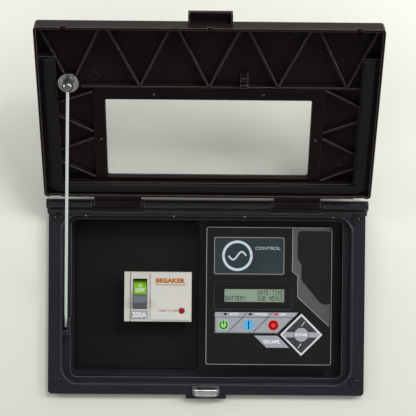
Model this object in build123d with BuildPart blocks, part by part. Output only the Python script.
"""Control panel enclosure of a home standby generator, with its lid propped open.

Frame: +Z up, the front faces -Y, x runs to the right. The origin is the centre of
the four flange screws, on the flange's back plane. The lid is drawn in its own
tilted plane, so it stands open, as it rests on its prop rod.
"""
from build123d import *
from math import cos, hypot, radians, sin, atan2, degrees
import os

os.makedirs("parts", exist_ok=True)

# ---------------------------------------------------------------- driving dimensions (mm)
SCREW_X, SCREW_Z = 193.0, 105.6        # half spacing of the corner screws
SCREW_R, SHOULDER_R, SCREW_HEAD_R, SCREW_HEAD_H = 2.5, 3.0, 5.0, 2.6
STUD_LENGTH = 14.0                     # shank behind the flange's back plane
FLANGE_W, FLANGE_T = 411.0, 4.0
FLANGE_BOTTOM, FLANGE_TOP = -123.0, 114.0
FLANGE_CORNER = 5.0
WALL = 3.0
RIM_W, RIM_H, RIM_CORNER = 376.0, 219.0, 22.0
LEDGE_DEPTH = 8.0                      # ledge face, behind the flange's back plane
WELL_LEFT, WELL_RIGHT, WELL_BOTTOM, WELL_TOP = -177.0, 177.5, -102.0, 104.5
WELL_CORNER = 8.0
FLOOR_Y = 37.0                         # front face of the well's floor
GASKET_W, GASKET_T = 2.5, 3.0         # narrow enough to pass the sleeves on the studs
FIT = 0.3                              # gap between pieces that move or drop in
RUNNING = 0.05                         # radial clearance of a shaft in its hole

AXIS_Y, AXIS_Z = -16.0, 125.0          # lid hinge axis
BEAD_R, KNUCKLE_R, PIN_R = 6.0, 5.5, 2.5
HOOD_W = 414.0
HINGE_X, NOTCH_W, TONGUE_W = 115.0, 68.0, 60.0
PIN_OVERRUN = 20.0                     # pin beyond each side of its notch

OPEN_TILT = 32.0                       # lid at rest, degrees forward of vertical
LID_W, LID_CORNER, LID_EDGE = 415.4, 4.5, 2.5
LID_START, LID_END = 17.0, 253.0       # along the lid, from the hinge axis
LID_OUTER, LID_RIM = -11.5, 10.5       # across the lid, from the hinge axis
PANE_T, RETAINER_T = 3.0, 3.0
WINDOW_W, WINDOW_START, WINDOW_END = 254.0, 39.0, 151.0
PANE_LAP = 8.0
RIB_T, RIB_H = 2.0, 6.5
LEDGE_W, LEDGE_TOP, LEDGE_END, LEDGE_BAND = 20.0, 3.0, 211.0, 14.0
FOAM_T, FOAM_INSET, FOAM_W, FOAM_SIDE = 5.0, 2.0, 13.6, 5.5
TAB_X, TAB_W, TAB_L, TAB_H, TAB_WALL, TAB_LIP = 1.0, 53.0, 13.4, 10.0, 2.0, 3.6

ROD_R = 1.85
PIVOT_X, PIVOT_U = -170.6, 174.0       # prop rod pivot on the lid
ROD_BALL_R, ROD_HEX = 7.0, 12.6        # rounded hex end
WASHER_R, WASHER_T, BOSS_TOP = 12.7, 1.8, -1.0
FOOT = (-183.5, 5.0, -38.0)            # rod's lower end, in its catch
CLIP_X, CLIP_U = 42.6, 180.2

PLATE_LEFT, PLATE_RIGHT, PLATE_BOTTOM, PLATE_TOP, PLATE_T = -173.3, -11.0, -94.6, 102.0, 3.0
BREAKER_X, BREAKER_Z, BREAKER_W, BREAKER_H = -63.6, 3.4, 88.0, 65.0
BREAKER_FRONT, BREAKER_BACK = 8.0, 74.0
COVER_T, COVER_STEP = 3.0, 2.3         # breaker's front cover, and how far it stands over the body
CONTROL_X, CONTROL_Z, CONTROL_W, CONTROL_H = 81.7, 4.8, 165.5, 181.7
CONTROL_FRONT, CONTROL_BACK, SHELL_T = 12.0, 76.0, 2.5
KEY_TRAVEL = 0.8


# ---------------------------------------------------------------- drawing planes
def facing(y):
    """A plane at depth y seen from the front: its x is +X and its y is +Z."""
    return Plane(origin=(0, y, 0), x_dir=(1, 0, 0), z_dir=(0, -1, 0))


TILT = radians(OPEN_TILT)
LID = Plane(origin=(0, AXIS_Y, AXIS_Z), x_dir=(1, 0, 0), z_dir=(0, -cos(TILT), -sin(TILT)))
LID_MID, LID_L = (LID_START + LID_END) / 2, LID_END - LID_START
PANEL = LID_OUTER + WALL               # inner face of the lid's panel
FLANGE_MID = (FLANGE_TOP + FLANGE_BOTTOM) / 2
WELL_X, WELL_Z = (WELL_LEFT + WELL_RIGHT) / 2, (WELL_BOTTOM + WELL_TOP) / 2
WELL_W, WELL_H = WELL_RIGHT - WELL_LEFT, WELL_TOP - WELL_BOTTOM


def box_at(x, z, width, height, y_front, y_back, corner=0.0, mode=Mode.ADD):
    """A block, round cornered if asked, centred at (x, z) between two depths."""
    with BuildSketch(facing(y_back)) as profile:
        with Locations((x, z)):
            if corner:
                RectangleRounded(width, height, corner)
            else:
                Rectangle(width, height)
    extrude(profile.sketch, amount=y_back - y_front, mode=mode)


def disc_at(spots, radius, y_front, y_back, mode=Mode.ADD):
    """Discs at the spots, between two depths."""
    with BuildSketch(facing(y_back)) as profile:
        with Locations(*spots):
            Circle(radius)
    extrude(profile.sketch, amount=y_back - y_front, mode=mode)


def lid_block(x, u, width, length, n_low, n_high, corner=0.0, mode=Mode.ADD):
    """A block on the lid, centred at (x, u), between two heights above the hinge axis."""
    with BuildSketch(LID.offset(n_low)) as profile:
        with Locations((x, u)):
            if corner:
                RectangleRounded(width, length, corner)
            else:
                Rectangle(width, length)
    extrude(profile.sketch, amount=n_high - n_low, mode=mode)


def save(builder, name):
    """Label a finished piece and write its file."""
    builder.part.label = name
    export_step(builder.part, f"parts/{name}.step")


def outline(points):
    """A closed outline through the points, in the sketch that is open."""
    Polygon(*points, align=None)


CORNERS = [(sx * SCREW_X, sz * SCREW_Z) for sx in (-1, 1) for sz in (-1, 1)]

# ---------------------------------------------------------------- bezel frame
BODY_W, BODY_H = BREAKER_W - 2 * COVER_STEP, BREAKER_H - 2 * COVER_STEP
BREAKER_HOLE = (BODY_W + 2, BODY_H + 2)
CONTROL_HOLE = (CONTROL_W - 14, CONTROL_H - 14)
BOSS_W, BOSS_BOTTOM = 53.0, -128.0
CATCH_TOP = FOOT[2] - 3.0
HOOD = [(0, 111), (0, AXIS_Z + BEAD_R), (AXIS_Y, AXIS_Z + BEAD_R), (AXIS_Y, AXIS_Z - BEAD_R + 0.5),
        (AXIS_Y / 2, 116.5), (-FLANGE_T, 111)]

with BuildPart() as bezel_frame:
    box_at(0, FLANGE_MID, FLANGE_W, FLANGE_TOP - FLANGE_BOTTOM, -FLANGE_T, 0, FLANGE_CORNER)
    box_at(0, BOSS_BOTTOM + 6, BOSS_W, 12, -FLANGE_T, GASKET_T + 3, 2)
    box_at(0, 0, RIM_W + 2 * WALL, RIM_H + 2 * WALL, 0, LEDGE_DEPTH + WALL, RIM_CORNER + WALL)
    box_at(WELL_X, WELL_Z, WELL_W + 2 * WALL, WELL_H + 2 * WALL, LEDGE_DEPTH, FLOOR_Y + WALL,
           WELL_CORNER + WALL)
    with BuildSketch(Plane.YZ.offset(-HOOD_W / 2)):
        outline(HOOD)
        with Locations((AXIS_Y, AXIS_Z)):
            Circle(BEAD_R)
    extrude(amount=HOOD_W)
    box_at(0, 0, RIM_W, RIM_H, -FLANGE_T, LEDGE_DEPTH, RIM_CORNER, Mode.SUBTRACT)
    box_at(WELL_X, WELL_Z, WELL_W, WELL_H, 0, FLOOR_Y, WELL_CORNER, Mode.SUBTRACT)
    box_at(BREAKER_X, BREAKER_Z, *BREAKER_HOLE, FLOOR_Y - 1, FLOOR_Y + WALL, 0, Mode.SUBTRACT)
    box_at(CONTROL_X, CONTROL_Z, *CONTROL_HOLE, FLOOR_Y - 1, FLOOR_Y + WALL, 0, Mode.SUBTRACT)
    for side in (-1, 1):
        box_at(side * HINGE_X, AXIS_Z + 2, NOTCH_W, 26, AXIS_Y - BEAD_R - 2, -FLANGE_T - 1, 0, Mode.SUBTRACT)
    with BuildSketch(Plane.YZ.offset(-HINGE_X - NOTCH_W / 2 - PIN_OVERRUN)):
        with Locations((AXIS_Y, AXIS_Z)):
            Circle(PIN_R)
    extrude(amount=2 * HINGE_X + NOTCH_W + 2 * PIN_OVERRUN, mode=Mode.SUBTRACT)
    disc_at(CORNERS, SHOULDER_R, -FLANGE_T, 0, Mode.SUBTRACT)
    # catch for the rod's foot: a small shelf with side cheeks, on the left ledge
    box_at(-RIM_W / 2 + 5.5, CATCH_TOP - 2.5, 11, 5, -2, LEDGE_DEPTH)
    box_at(-RIM_W / 2 + 9.5, CATCH_TOP + 8, 3, 16, -2, LEDGE_DEPTH)
save(bezel_frame, "bezel_frame")

with BuildPart() as flange_gasket:
    ring = RIM_W + 2 * WALL + 2 * FIT, RIM_H + 2 * WALL + 2 * FIT, RIM_CORNER + WALL + FIT
    box_at(0, 0, ring[0] + 2 * GASKET_W, ring[1] + 2 * GASKET_W, 0, GASKET_T, ring[2] + GASKET_W)
    box_at(0, 0, *ring[:2], 0, GASKET_T, ring[2], Mode.SUBTRACT)
    box_at(0, BOSS_BOTTOM + 6, BOSS_W + 1, 13, 0, GASKET_T, 0, Mode.SUBTRACT)
save(flange_gasket, "flange_gasket")

with BuildPart() as corner_screws:
    disc_at(CORNERS, SCREW_R, 0, STUD_LENGTH)
    disc_at(CORNERS, SHOULDER_R, -FLANGE_T, 0)          # shoulder inside the flange
    disc_at(CORNERS, SCREW_HEAD_R, -FLANGE_T - SCREW_HEAD_H, -FLANGE_T)
    fillet(corner_screws.faces().filter_by(Axis.Y).sort_by(Axis.Y)[:4].edges(), 1.4)
    for turn in (0, 90):
        with BuildSketch(facing(-FLANGE_T - SCREW_HEAD_H + 1.4)):
            with Locations(*[Location((x, z, 0), (0, 0, turn)) for x, z in CORNERS]):
                Rectangle(5.2, 1.1)
        extrude(amount=2, mode=Mode.SUBTRACT)
save(corner_screws, "corner_screws")

with BuildPart() as hinge_pins:
    for side in (-1, 1):
        start = side * HINGE_X - NOTCH_W / 2 - PIN_OVERRUN
        with BuildSketch(Plane.YZ.offset(start)):
            with Locations((AXIS_Y, AXIS_Z)):
                Circle(PIN_R)
        extrude(amount=NOTCH_W + 2 * PIN_OVERRUN)
save(hinge_pins, "hinge_pins")

# ---------------------------------------------------------------- breaker
PLATE_Y = FLOOR_Y - PLATE_T
with BuildPart() as breaker_plate:
    box_at((PLATE_LEFT + PLATE_RIGHT) / 2, (PLATE_TOP + PLATE_BOTTOM) / 2, PLATE_RIGHT - PLATE_LEFT,
           PLATE_TOP - PLATE_BOTTOM, PLATE_Y, FLOOR_Y, 5)
    box_at(BREAKER_X, BREAKER_Z, BODY_W + 2 * FIT, BODY_H + 2 * FIT, PLATE_Y, FLOOR_Y, 0, Mode.SUBTRACT)
    fillet(breaker_plate.faces().sort_by(Axis.Y)[0].outer_wire().edges(), 0.8)
save(breaker_plate, "breaker_plate")

TOGGLE_X, TOGGLE_Z, TOGGLE_W, TOGGLE_H = -87.1, 7.0, 18.6, 39.6
TOGGLE_PIVOT_Y, TOGGLE_R = 24.0, 19.0
RIDGE = [(-16, -0.7), (-23, -9.9), (-23, -11.3), (-17, -19), (-8, -19), (-8, -0.7)]   # from the pivot
LABEL = (-87.7, -20.3, 21.5, 11.6)
RAISED = (-47.0, 3.5, 52.4, 61.0)
RAISED_Y = BREAKER_FRONT - 1.2
TRIP_X, TRIP_Z, TRIP_R = -32.5, -14.7, 3.75
LUG_X = [BREAKER_X - 28, BREAKER_X + 28]
LUG_Z = [BREAKER_Z - 19, BREAKER_Z + 19]
LUGS = [(x, z) for x in LUG_X for z in LUG_Z]
STRAP_Y, STRAP_T = 56.0, 2.0

with BuildPart() as breaker_case:
    box_at(BREAKER_X, BREAKER_Z, BREAKER_W, BREAKER_H, BREAKER_FRONT, BREAKER_FRONT + COVER_T, 0.6)
    box_at(BREAKER_X, BREAKER_Z, BODY_W, BODY_H, BREAKER_FRONT, BREAKER_BACK, 1.2)
    box_at(BREAKER_X - BREAKER_W / 2 + 7.8, BREAKER_Z, 1.6, BREAKER_H + 2, BREAKER_FRONT, BREAKER_FRONT + 2,
           0, Mode.SUBTRACT)
    box_at(TOGGLE_X, TOGGLE_Z, TOGGLE_W, TOGGLE_H, BREAKER_FRONT, 45, 0, Mode.SUBTRACT)
    disc_at([(TRIP_X, TRIP_Z)], TRIP_R + FIT, BREAKER_FRONT, 22, Mode.SUBTRACT)
    disc_at(LUGS, 7.0, BREAKER_BACK - 14, BREAKER_BACK, Mode.SUBTRACT)
    with Locations((TOGGLE_X, TOGGLE_PIVOT_Y, TOGGLE_Z)):
        Cylinder(2 + RUNNING, TOGGLE_W + 8, rotation=(0, 90, 0), mode=Mode.SUBTRACT)
save(breaker_case, "breaker_case")

with BuildPart() as breaker_front:
    box_at(*RAISED, RAISED_Y, BREAKER_FRONT, 1)
    disc_at([(TRIP_X, TRIP_Z)], TRIP_R + FIT, RAISED_Y, BREAKER_FRONT, Mode.SUBTRACT)
    fillet(breaker_front.faces().sort_by(Axis.Y)[0].outer_wire().edges(), 0.5)
save(breaker_front, "breaker_front")

with BuildPart() as rating_label:
    box_at(*LABEL, BREAKER_FRONT - 0.4, BREAKER_FRONT)
save(rating_label, "rating_label")

with BuildPart() as breaker_toggle:
    # a drum on its own shaft, with a thumb ridge that stands out of the window
    with BuildSketch(Plane.YZ.offset(TOGGLE_X - TOGGLE_W / 2 + FIT)):
        with Locations((TOGGLE_PIVOT_Y, TOGGLE_Z)):
            Circle(TOGGLE_R - 1.5)
        outline([(TOGGLE_PIVOT_Y + y, TOGGLE_Z + z) for y, z in RIDGE])
    extrude(amount=TOGGLE_W - 2 * FIT)
    with Locations((TOGGLE_X, TOGGLE_PIVOT_Y, TOGGLE_Z)):
        Cylinder(2, TOGGLE_W + 7.4, rotation=(0, 90, 0))
save(breaker_toggle, "breaker_toggle")

with BuildPart() as on_off_flag:
    # a curved label on the drum, above the ridge
    with BuildSketch(Plane.YZ.offset(TOGGLE_X - TOGGLE_W / 2 + 1)):
        with Locations((TOGGLE_PIVOT_Y, TOGGLE_Z)):
            Circle(TOGGLE_R - 1.0)
            Circle(TOGGLE_R - 1.5, mode=Mode.SUBTRACT)
        with Locations((TOGGLE_PIVOT_Y - TOGGLE_R, TOGGLE_Z + RIDGE[0][1] + FIT + 9.5)):
            Rectangle(TOGGLE_R * 1.6, 19, mode=Mode.INTERSECT)
    extrude(amount=TOGGLE_W - 2)
save(on_off_flag, "on_off_flag")

with BuildPart() as trip_button:
    disc_at([(TRIP_X, TRIP_Z)], TRIP_R, RAISED_Y - 0.6, 20)
    fillet(trip_button.faces().sort_by(Axis.Y)[0].edges(), 0.6)
save(trip_button, "trip_button")

with BuildPart() as line_lugs:
    disc_at(LUGS, 6.7, BREAKER_BACK - 13.8, BREAKER_BACK + 8)
    disc_at(LUGS, 4.5, BREAKER_BACK - 6, BREAKER_BACK + 8, Mode.SUBTRACT)
    with Locations(*[(x, BREAKER_BACK + 4, BREAKER_Z + (24 if z > BREAKER_Z else -24)) for x, z in LUGS]):
        Box(7, 7, 6)
    disc_at(LUGS, 4.5, BREAKER_BACK - 6, BREAKER_BACK + 8, Mode.SUBTRACT)
    for x, z in LUGS:
        with Locations((x, BREAKER_BACK + 4, z)):
            Cylinder(2.2, 40, mode=Mode.SUBTRACT)
save(line_lugs, "line_lugs")

with BuildPart() as lug_screws:
    for x, z in LUGS:
        side = 1 if z > BREAKER_Z else -1
        with Locations((x, BREAKER_BACK + 4, z + side * 7.5)):
            Cylinder(2.2, 6)
save(lug_screws, "lug_screws")

STRAP_SPOTS = [(BREAKER_X + sx * (BODY_W / 2 + FIT + 17), BREAKER_Z) for sx in (-1, 1)]
with BuildPart() as breaker_bracket:
    # a hat shaped strap around the case, with feet on the back of the floor
    with BuildSketch(Plane.XY.offset(BREAKER_Z - 10)):
        foot_y, half = FLOOR_Y + WALL, BODY_W / 2 + FIT
        for sx in (-1, 1):
            with Locations((BREAKER_X + sx * (half + 12.5), foot_y + STRAP_T / 2)):
                Rectangle(25, STRAP_T)
            with Locations((BREAKER_X + sx * (half + STRAP_T / 2), (foot_y + BREAKER_BACK + FIT + STRAP_T) / 2)):
                Rectangle(STRAP_T, BREAKER_BACK + FIT + STRAP_T - foot_y)
        with Locations((BREAKER_X, BREAKER_BACK + FIT + STRAP_T / 2)):
            Rectangle(BODY_W + 2 * FIT + 2 * STRAP_T, STRAP_T)
    extrude(amount=20)
    disc_at(STRAP_SPOTS, 2.1, FLOOR_Y, 60, Mode.SUBTRACT)
save(breaker_bracket, "breaker_bracket")

with BuildPart() as bracket_screws:
    disc_at(STRAP_SPOTS, 2.0, FLOOR_Y + WALL, FLOOR_Y + WALL + STRAP_T)
    disc_at(STRAP_SPOTS, 3.6, FLOOR_Y + WALL + STRAP_T, FLOOR_Y + WALL + STRAP_T + 2.4)
save(bracket_screws, "bracket_screws")

# ---------------------------------------------------------------- controller
BADGE = (CONTROL_X - 26.2, CONTROL_Z + 52.9, 92.5, 49.4)
LCD = (CONTROL_X - 19.0, CONTROL_Z + 0.6, 78.3, 16.6)
LCD_POCKET = (CONTROL_X - 21.0, CONTROL_Z + 0.7, 101.0, 36.0)
KEY_TOP, KEY_BOTTOM, KEY_LINE = CONTROL_Z - 21.4, CONTROL_Z - 48.7, CONTROL_Z - 27.4
KEY_SLANT = 27.0                       # how far a key's slanted edge leans over its height
KEY_EDGES = [CONTROL_X - 70.6, CONTROL_X - 27.3, CONTROL_X + 5.5, CONTROL_X + 38.8]
LED_SPOTS = [(CONTROL_X + dx, CONTROL_Z - 23.8) for dx in (-56.8, -24.0, 9.6)]
LED_R = 1.5
NAV_X, NAV_Z, NAV_HALF, NAV_RIM = CONTROL_X + 43.0, CONTROL_Z - 50.4, 27.9, 3.7
BAND_H, ENTER_R = 6.8, 9.2
ESCAPE = [(-19.2, -51.9), (11.8, -51.9), (27.3, -67.7), (-2.8, -67.7)]
COVER = [(37.6, 85.9), (80.5, 85.9), (80.5, -8.5), (74.0, -10.5), (67.8, -7.9), (42.9, 21.9), (42.9, 42.0),
         (37.6, 50.0)]
BEZEL_LINE = [(31.5, 90), (82.0, 90), (82.0, -42.5), (77.5, -38.5), (38.0, 5.5), (38.0, 26.4), (31.5, 32.9)]
FACE_T = 3.0                           # controller's front wall
PLATE_SINK = 0.9                       # keypad overlay's pocket


def control(points):
    """Points given from the controller's centre, moved to where it sits."""
    return [(CONTROL_X + x, CONTROL_Z + z) for x, z in points]


def key_outline(index, inset):
    """Outline of one key of the row: a square left end on the first, slanted ends on the others."""
    left, right = KEY_EDGES[index] + inset, KEY_EDGES[index + 1] - inset
    high, low = KEY_LINE - inset, KEY_BOTTOM + inset
    slope = KEY_SLANT / (KEY_TOP - KEY_BOTTOM)
    drop_high, drop_low = slope * (KEY_TOP - high), slope * (KEY_TOP - low)
    first = index == 0
    return [(left if first else left - drop_high, high), (right - drop_high, high), (right - drop_low, low),
            (left if first else left - drop_low, low)]


def nav_outline(up):
    """Outline of an arrow key: the half of the diamond above or below the middle band."""
    side = 1 if up else -1
    base, tip = BAND_H / 2 + 0.5, NAV_HALF - NAV_RIM - 0.5
    return [(NAV_X - (tip - base), NAV_Z + side * base), (NAV_X + (tip - base), NAV_Z + side * base),
            (NAV_X, NAV_Z + side * tip)]


KEYS = {"auto_key": key_outline(0, 0.8), "manual_key": key_outline(1, 0.8), "off_key": key_outline(2, 0.8),
        "escape_key": control(ESCAPE), "up_key": nav_outline(True), "down_key": nav_outline(False)}
KEY_PROUD = 0.9
STEM_R = 2.0
DIAMOND = [(NAV_X, NAV_Z + NAV_HALF), (NAV_X + NAV_HALF, NAV_Z), (NAV_X, NAV_Z - NAV_HALF),
           (NAV_X - NAV_HALF, NAV_Z)]
ROW = [(KEY_EDGES[0], KEY_TOP), (KEY_EDGES[3], KEY_TOP), (KEY_EDGES[3] - KEY_SLANT, KEY_BOTTOM),
       (KEY_EDGES[0], KEY_BOTTOM)]


def middle(points):
    """The mean of an outline's points."""
    return (sum(p[0] for p in points) / len(points), sum(p[1] for p in points) / len(points))


def stem_spot(name, points):
    """Where a key's stem stands: its middle, or clear of the round key on an arrow."""
    reach = ENTER_R + 3 * FIT + STEM_R + 1
    return {"up_key": (NAV_X, NAV_Z + reach), "down_key": (NAV_X, NAV_Z - reach)}.get(name, middle(points))


STEM_SPOTS = {name: stem_spot(name, points) for name, points in KEYS.items()}
STEMS = [*STEM_SPOTS.values(), (NAV_X, NAV_Z)]
WELL_Y = CONTROL_FRONT + PLATE_SINK + KEY_TRAVEL   # floor under the keys, with room for their travel

with BuildPart() as controller_front:
    box_at(CONTROL_X, CONTROL_Z, CONTROL_W, CONTROL_H, CONTROL_FRONT, FLOOR_Y, 4)
    fillet(controller_front.faces().sort_by(Axis.Y)[0].edges(), 1.2)
    box_at(CONTROL_X, CONTROL_Z, CONTROL_W - 2 * SHELL_T, CONTROL_H - 2 * SHELL_T, CONTROL_FRONT + FACE_T,
           FLOOR_Y, 2, Mode.SUBTRACT)
    box_at(*BADGE, CONTROL_FRONT, CONTROL_FRONT + 1.2, 1.5, Mode.SUBTRACT)
    box_at(*LCD_POCKET, CONTROL_FRONT, CONTROL_FRONT + 1.0, 1.5, Mode.SUBTRACT)
    box_at(*LCD, CONTROL_FRONT, CONTROL_FRONT + FACE_T, 0, Mode.SUBTRACT)
    with BuildSketch(facing(CONTROL_FRONT + 1.4)):
        outline(control(BEZEL_LINE))
    extrude(amount=2, mode=Mode.SUBTRACT)
    with BuildSketch(facing(CONTROL_FRONT + PLATE_SINK)):
        outline(ROW)
        outline(DIAMOND)
    extrude(amount=2, mode=Mode.SUBTRACT)
    for points in KEYS.values():
        with BuildSketch(facing(WELL_Y)):
            outline(points)
            offset(amount=FIT, kind=Kind.INTERSECTION)
        extrude(amount=WELL_Y - CONTROL_FRONT + 1, mode=Mode.SUBTRACT)
    disc_at([(NAV_X, NAV_Z)], ENTER_R + FIT, CONTROL_FRONT, WELL_Y, Mode.SUBTRACT)
    disc_at(STEMS, STEM_R + FIT, CONTROL_FRONT, CONTROL_FRONT + FACE_T, Mode.SUBTRACT)
    disc_at(LED_SPOTS, LED_R, CONTROL_FRONT, CONTROL_FRONT + FACE_T, Mode.SUBTRACT)
save(controller_front, "controller_front")

with BuildPart() as badge_window:
    box_at(*BADGE, CONTROL_FRONT - 0.3, CONTROL_FRONT + 1.2, 1.5)
    fillet(badge_window.faces().sort_by(Axis.Y)[0].edges(), 0.3)
save(badge_window, "badge_window")

with BuildPart() as lcd_lens:
    box_at(LCD[0], LCD[1], LCD[2], LCD[3], CONTROL_FRONT + 1.2, CONTROL_FRONT + FACE_T)
save(lcd_lens, "lcd_lens")

with BuildPart() as access_cover:
    with BuildSketch(facing(CONTROL_FRONT + 1.4)):
        outline(control(COVER))
        fillet(vertices().sort_by(Axis.Y)[-2:], 5)
    extrude(amount=2.6)
    fillet(access_cover.faces().sort_by(Axis.Y)[0].edges(), 0.8)
save(access_cover, "access_cover")

with BuildPart() as keypad_overlay:
    with BuildSketch(facing(CONTROL_FRONT + PLATE_SINK)):
        outline(ROW)
        outline(DIAMOND)
        with Locations((NAV_X, NAV_Z)):
            Circle(ENTER_R + FIT, mode=Mode.SUBTRACT)
        with Locations(*LED_SPOTS):
            Circle(LED_R, mode=Mode.SUBTRACT)
    extrude(amount=PLATE_SINK + 0.2)
    for name, points in KEYS.items():
        with BuildSketch(facing(CONTROL_FRONT + PLATE_SINK)):
            outline(points)
            offset(amount=FIT, kind=Kind.INTERSECTION)
        extrude(amount=2, mode=Mode.SUBTRACT)
save(keypad_overlay, "keypad_overlay")

for name, points in KEYS.items():
    with BuildPart() as key:
        with BuildSketch(facing(CONTROL_FRONT + PLATE_SINK - FIT)):
            outline(points)
        extrude(amount=PLATE_SINK - FIT + KEY_PROUD)
        fillet(key.faces().sort_by(Axis.Y)[0].edges(), 0.35)
        disc_at([STEM_SPOTS[name]], STEM_R, CONTROL_FRONT + PLATE_SINK - FIT, CONTROL_FRONT + 5.0)
        if name in ("up_key", "down_key"):
            disc_at([(NAV_X, NAV_Z)], ENTER_R + 2 * FIT, CONTROL_FRONT - 3, CONTROL_FRONT + PLATE_SINK,
                    Mode.SUBTRACT)
    save(key, name)

with BuildPart() as enter_key:
    disc_at([(NAV_X, NAV_Z)], ENTER_R, CONTROL_FRONT - KEY_PROUD - 0.2, CONTROL_FRONT + PLATE_SINK - FIT)
    fillet(enter_key.faces().sort_by(Axis.Y)[0].edges(), 0.5)
    disc_at([(NAV_X, NAV_Z)], STEM_R, CONTROL_FRONT + PLATE_SINK - FIT, CONTROL_FRONT + 5.0)
save(enter_key, "enter_key")

with BuildPart() as status_leds:
    disc_at(LED_SPOTS, LED_R, CONTROL_FRONT - 0.6, CONTROL_FRONT + 6.0)
    fillet(status_leds.faces().sort_by(Axis.Y)[:3].edges(), 0.5)
save(status_leds, "status_leds")

BOARD_Y, BOARD_T = CONTROL_FRONT + 6.0, 1.6
LCD_MODULE_Y = CONTROL_FRONT + FACE_T
SWITCH_GAP = KEY_TRAVEL + 0.2
with BuildPart() as controller_board:
    box_at(CONTROL_X, CONTROL_Z, CONTROL_W - 2 * SHELL_T - 2, CONTROL_H - 2 * SHELL_T - 2, BOARD_Y,
           BOARD_Y + BOARD_T, 3)
    disc_at(STEMS, STEM_R + 1, BOARD_Y, BOARD_Y + BOARD_T, Mode.SUBTRACT)
    disc_at(STEMS, STEM_R + 1, CONTROL_FRONT + 5.0 + SWITCH_GAP, BOARD_Y + BOARD_T)
save(controller_board, "controller_board")

with BuildPart() as lcd_module:
    box_at(LCD[0], LCD[1], LCD[2] + 14, LCD[3] + 12, LCD_MODULE_Y, BOARD_Y)
save(lcd_module, "lcd_module")

BACK_W, BACK_H = CONTROL_HOLE[0] - 2, CONTROL_HOLE[1] - 2
CASE_SCREWS = [(CONTROL_X + sx * (BACK_W / 2 - 9), CONTROL_Z + sz * (BACK_H / 2 - 9)) for sx in (-1, 1)
               for sz in (-1, 1)]
with BuildPart() as controller_back:
    box_at(CONTROL_X, CONTROL_Z, BACK_W, BACK_H, BOARD_Y + BOARD_T + 10, CONTROL_BACK, 4)
    box_at(CONTROL_X, CONTROL_Z, BACK_W - 2 * SHELL_T, BACK_H - 2 * SHELL_T, BOARD_Y + BOARD_T,
           CONTROL_BACK - SHELL_T, 2, Mode.SUBTRACT)
    disc_at(CASE_SCREWS, 5, BOARD_Y + BOARD_T, CONTROL_BACK - 0.5)
    disc_at(CASE_SCREWS, 2.1, BOARD_Y + BOARD_T, CONTROL_BACK, Mode.SUBTRACT)
    box_at(CONTROL_X - 28, CONTROL_Z - 62, 62, 16, CONTROL_BACK - SHELL_T, CONTROL_BACK, 0, Mode.SUBTRACT)
    with BuildSketch(facing(CONTROL_BACK)):
        with Locations((CONTROL_X, CONTROL_Z + 30)):
            with GridLocations(0, 6, 1, 7):
                SlotOverall(70, 2.4)
    extrude(amount=SHELL_T, mode=Mode.SUBTRACT)
save(controller_back, "controller_back")

with BuildPart() as controller_screws:
    disc_at(CASE_SCREWS, 2.0, BOARD_Y + BOARD_T, CONTROL_BACK)
    disc_at(CASE_SCREWS, 3.8, CONTROL_BACK, CONTROL_BACK + 2.6)
save(controller_screws, "controller_screws")

with BuildPart() as board_connectors:
    for dx in (-44, -12):
        box_at(CONTROL_X + dx, CONTROL_Z - 62, 26, 12, BOARD_Y + BOARD_T, CONTROL_BACK + 3)
        box_at(CONTROL_X + dx, CONTROL_Z - 62, 22, 8, CONTROL_BACK - 8, CONTROL_BACK + 3, 0, Mode.SUBTRACT)
save(board_connectors, "board_connectors")

FUSE_Z = CONTROL_Z + 62
with BuildPart() as fuse_holder:
    for dx in (8, 36):
        box_at(CONTROL_X + dx, FUSE_Z, 4, 10, BOARD_Y + BOARD_T, BOARD_Y + BOARD_T + 13)
    box_at(CONTROL_X + 22, FUSE_Z, 32, 10, BOARD_Y + BOARD_T, BOARD_Y + BOARD_T + 2)
    with Locations((CONTROL_X + 22, BOARD_Y + BOARD_T + 8, FUSE_Z)):
        Cylinder(2.65, 40, rotation=(0, 90, 0), mode=Mode.SUBTRACT)
save(fuse_holder, "fuse_holder")

with BuildPart() as fuse:
    with Locations((CONTROL_X + 22, BOARD_Y + BOARD_T + 8, FUSE_Z)):
        Cylinder(2.6, 32, rotation=(0, 90, 0))
save(fuse, "fuse")

# ---------------------------------------------------------------- latch at the bottom edge
LATCH_Y, LATCH_Z, LATCH_W = -8.5, -118.0, 28.0
LATCH_PIN_R, LEVER_T, LEVER_DROP = 1.5, 1.8, 6.0
BRACKET_T, BRACKET_DROP, ROLL_R = 0.8, 8.6, 1.2
EAR_X = LATCH_W / 2 + 2.0
with BuildPart() as latch_bracket:
    with BuildSketch(facing(-FLANGE_T)):
        with BuildLine():
            half, high, low = LATCH_W / 2 + 3.5, LATCH_Z + 6.5, LATCH_Z - 5.5
            Polyline((half, low), (half, high), (-half, high), (-half, low))
            ThreePointArc((-half, low), (0, LATCH_Z - BRACKET_DROP), (half, low))
        make_face()
    extrude(amount=BRACKET_T)
    box_at(0, LATCH_Z + 3.6, LATCH_W - 2, 2.6, -FLANGE_T - BRACKET_T, -FLANGE_T, 0, Mode.SUBTRACT)
    for sx in (-1, 1):
        with BuildSketch(Plane.YZ.offset(sx * EAR_X - 0.8)):
            with Locations((LATCH_Y + 1.2, LATCH_Z)):
                RectangleRounded(6.6, 7, 2.5)
        extrude(amount=1.6)
    with Locations((0, LATCH_Y, LATCH_Z)):
        Cylinder(LATCH_PIN_R, 60, rotation=(0, 90, 0), mode=Mode.SUBTRACT)
save(latch_bracket, "latch_bracket")

with BuildPart() as latch_pin:
    with Locations((0, LATCH_Y, LATCH_Z)):
        Cylinder(LATCH_PIN_R, 2 * EAR_X + 2.4, rotation=(0, 90, 0))
save(latch_pin, "latch_pin")

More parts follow.
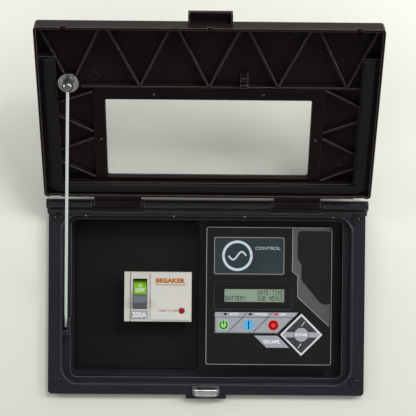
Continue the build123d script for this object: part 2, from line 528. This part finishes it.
with BuildPart() as latch_lever:
    with Locations((0, LATCH_Y, LATCH_Z)):
        Cylinder(LATCH_PIN_R + 1.2, LATCH_W, rotation=(0, 90, 0))
    with BuildSketch(facing(LATCH_Y - 0.2)):
        with BuildLine():
            half, low = LATCH_W / 2, LATCH_Z - LEVER_DROP
            Polyline((-half, low + 1), (-half, LATCH_Z), (half, LATCH_Z), (half, low + 1), close=True)
        make_face()
    extrude(amount=LEVER_T)
    with Locations((0, LATCH_Y - ROLL_R, low + ROLL_R)):
        Cylinder(ROLL_R, LATCH_W, rotation=(0, 90, 0))
    with Locations((0, LATCH_Y, LATCH_Z)):
        Cylinder(LATCH_PIN_R + RUNNING, 60, rotation=(0, 90, 0), mode=Mode.SUBTRACT)
save(latch_lever, "latch_lever")

# ---------------------------------------------------------------- lid
NODE_LOW, NODE_HIGH, NODE_PITCH, NODE_SPREAD = 168.5, LID_END - WALL, 84.0, 3.0
FRAME_W, FRAME_END = 282.0, 165.5
INNER_X = LID_W / 2 - WALL


def zigzag_ribs():
    """The truss of ribs on the lid, as pairs of end points."""
    ribs = []
    for k in range(-2, 3):
        for side in (-1, 1):
            top = k * NODE_PITCH + side * NODE_PITCH / 2 - side * NODE_SPREAD
            if abs(top) > INNER_X - 8:
                top = side * (INNER_X - 1)
            ribs.append(((k * NODE_PITCH, NODE_LOW), (top, NODE_HIGH)))
    ribs.append(((-155, NODE_LOW), (185, NODE_LOW)))
    ribs += [((-143, 161), (-185, 146)), ((-185, 127), (-143, 106)), ((-143, 96), (-185, 79)),
             ((-185, 61), (-143, 40))]
    ribs += [((143, 165), (185, 143)), ((185, 122), (143, 106)), ((143, 97), (185, 75)), ((185, 55), (143, 36))]
    return ribs


with BuildPart() as lid_shell:
    lid_block(0, LID_MID, LID_W, LID_L, LID_OUTER, LID_RIM, LID_CORNER)
    fillet(lid_shell.faces().sort_by(Axis((0, 0, 0), LID.z_dir))[0].edges(), LID_EDGE)
    lid_block(0, LID_MID, LID_W - 2 * WALL, LID_L - 2 * WALL, PANEL, LID_RIM, LID_CORNER - WALL, Mode.SUBTRACT)
    # raised ledge down both sides and along the hinge side, which carries the foam
    ledge_start = LID_START + WALL
    for side in (-1, 1):
        lid_block(side * (INNER_X - LEDGE_W / 2), (ledge_start + LEDGE_END) / 2, LEDGE_W, LEDGE_END - ledge_start,
                  PANEL, LEDGE_TOP)
    lid_block(0, ledge_start + LEDGE_BAND / 2, 2 * INNER_X - 1, LEDGE_BAND, PANEL, LEDGE_TOP)
    lid_block(0, (WINDOW_START + WINDOW_END) / 2, WINDOW_W, WINDOW_END - WINDOW_START, LID_OUTER, PANEL, 3,
              Mode.SUBTRACT)
    with BuildSketch(LID.offset(PANEL)):
        for start, end in zigzag_ribs():
            run = hypot(end[0] - start[0], end[1] - start[1])
            turn = degrees(atan2(end[1] - start[1], end[0] - start[0]))
            with Locations(Location(((start[0] + end[0]) / 2, (start[1] + end[1]) / 2, 0), (0, 0, turn))):
                Rectangle(run, RIB_T)
        with Locations((PIVOT_X, PIVOT_U)):
            Circle(WASHER_R + 1, mode=Mode.SUBTRACT)
    extrude(amount=RIB_H)
    with BuildSketch(LID.offset(PANEL)):
        with Locations((PIVOT_X, PIVOT_U)):
            Circle(WASHER_R - 3)
    extrude(amount=BOSS_TOP - PANEL)
    # pull tab, a hollow lip on the free end
    tab_low = LID_OUTER + 1
    lid_block(TAB_X, LID_END + TAB_L / 2 - 1, TAB_W, TAB_L + 2, tab_low, tab_low + TAB_H, 1)
    lid_block(TAB_X, LID_END + (TAB_L - TAB_WALL) / 2, TAB_W - 2 * TAB_WALL, TAB_L - TAB_WALL,
              tab_low + TAB_WALL, tab_low + TAB_H, 0, Mode.SUBTRACT)
    lid_block(TAB_X, LID_END + TAB_L, TAB_W - 2 * TAB_WALL, 3 * TAB_WALL, tab_low + TAB_LIP, tab_low + TAB_H, 0,
              Mode.SUBTRACT)
    # notches in the free end's rim: two drains and the latch keeper
    for x, width, depth in ((-173, 8, 4), (TAB_X, 7, 3), (176, 8, 4)):
        lid_block(x, LID_END - WALL / 2, width, WALL + 1.5, LID_RIM - depth, LID_RIM, 0, Mode.SUBTRACT)
    # notches in the hinge side's rim, which clear the screw heads when the lid is shut
    head_n = -FLANGE_T - SCREW_HEAD_H - AXIS_Y
    for side in (-1, 1):
        lid_block(side * SCREW_X, LID_START + WALL / 2, 2 * SCREW_HEAD_R + 4, WALL + 1.5, head_n - 3 * FIT,
                  LID_RIM, 0, Mode.SUBTRACT)
    for side in (-1, 1):
        # hinge tongue: a plate from the end wall to a knuckle on the axis
        lid_block(side * HINGE_X, (LID_START + 1) / 2, TONGUE_W, LID_START + 1, -2.5, 3.5)
        with Locations((side * HINGE_X, AXIS_Y, AXIS_Z)):
            Cylinder(KNUCKLE_R, TONGUE_W, rotation=(0, 90, 0))
            Cylinder(PIN_R + RUNNING, TONGUE_W + 10, rotation=(0, 90, 0), mode=Mode.SUBTRACT)
save(lid_shell, "lid_shell")

PANE_W, PANE_L = WINDOW_W + 2 * PANE_LAP, WINDOW_END - WINDOW_START + 2 * PANE_LAP
WINDOW_MID = (WINDOW_START + WINDOW_END) / 2
FRAME_LOW = ledge_start + LEDGE_BAND + FIT
with BuildPart() as window_pane:
    lid_block(0, WINDOW_MID, PANE_W - 2 * FIT, PANE_L - 2 * FIT, PANEL, PANEL + PANE_T, 2)
    lid_block(0, ledge_start + LEDGE_BAND / 2, LID_W, LEDGE_BAND + 2 * FIT, PANEL, PANEL + PANE_T, 0,
              Mode.SUBTRACT)
save(window_pane, "window_pane")

RIVET_R, RIVET_H = 1.8, 1.2
PIN_SPOTS = [(side * 67, WINDOW_END + 7.5) for side in (-1, 1)]
PIN_SPOTS += [(side * 133.5, WINDOW_MID) for side in (-1, 1)]
with BuildPart() as window_frame:
    frame_l = FRAME_END - FRAME_LOW
    lid_block(0, (FRAME_END + FRAME_LOW) / 2, FRAME_W, frame_l, PANEL, PANEL + PANE_T + RETAINER_T, 3)
    lid_block(0, WINDOW_MID, PANE_W, PANE_L, PANEL, PANEL + PANE_T, 2, Mode.SUBTRACT)
    lid_block(0, WINDOW_MID, WINDOW_W, WINDOW_END - WINDOW_START, PANEL, 5, 3, Mode.SUBTRACT)
save(window_frame, "window_frame")

with BuildPart() as window_rivets:
    with BuildSketch(LID.offset(PANEL + PANE_T + RETAINER_T)):
        with Locations(*PIN_SPOTS):
            Circle(RIVET_R)
    extrude(amount=RIVET_H)
    fillet(window_rivets.faces().sort_by(Axis((0, 0, 0), LID.z_dir))[-4:].edges(), RIVET_H / 2)
save(window_rivets, "window_rivets")

with BuildPart() as lid_gasket:
    foam_start, foam_x = ledge_start + FOAM_INSET, INNER_X - FOAM_SIDE
    for side in (-1, 1):
        lid_block(side * (foam_x - FOAM_W / 2), (foam_start + LEDGE_END - 1) / 2, FOAM_W,
                  LEDGE_END - 1 - foam_start, LEDGE_TOP, LEDGE_TOP + FOAM_T)
    lid_block(0, foam_start + LEDGE_BAND / 2 - 1.5, 2 * foam_x, LEDGE_BAND - 3, LEDGE_TOP, LEDGE_TOP + FOAM_T)
save(lid_gasket, "lid_gasket")

with BuildPart() as rod_clip:
    for du in (-4.6, 4.6):
        lid_block(CLIP_X, CLIP_U + du, 9, 4, PANEL, 9.0, 0)
    lid_block(CLIP_X, CLIP_U, 9, 13.2, PANEL, 2.0, 0)
save(rod_clip, "rod_clip")

PIVOT_N = BOSS_TOP + WASHER_T + ROD_BALL_R + FIT
with BuildPart() as rod_washer:
    with BuildSketch(LID.offset(BOSS_TOP)):
        with Locations((PIVOT_X, PIVOT_U)):
            Circle(WASHER_R)
    extrude(amount=WASHER_T)
save(rod_washer, "rod_washer")

# ---------------------------------------------------------------- prop rod
PIVOT = LID.from_local_coords(Vector(PIVOT_X, PIVOT_U, PIVOT_N))
with BuildPart() as rod_end:
    with Locations(Location(Plane(origin=PIVOT, x_dir=(1, 0, 0), z_dir=LID.z_dir))):
        Sphere(ROD_BALL_R)
    with BuildSketch(Plane(origin=PIVOT - LID.z_dir * 10, x_dir=(1, 0, 0), z_dir=LID.z_dir)):
        RegularPolygon(ROD_HEX / 2, 6, major_radius=False)
    extrude(amount=20, mode=Mode.INTERSECT)
save(rod_end, "rod_end")

ROD_WAY = (Vector(*FOOT) - PIVOT).normalized()
ROD_START = PIVOT + ROD_WAY * (ROD_BALL_R - 1.5)
with BuildPart() as prop_rod:
    with BuildSketch(Plane(origin=ROD_START, z_dir=ROD_WAY)):
        Circle(ROD_R)
    extrude(amount=(Vector(*FOOT) - ROD_START).length - ROD_R / 2)
    fillet(prop_rod.faces().sort_by(Axis((0, 0, 0), ROD_WAY))[-1].edges(), 1.6)
    with Locations(Location(PIVOT)):
        Sphere(ROD_BALL_R, mode=Mode.SUBTRACT)
save(prop_rod, "prop_rod")
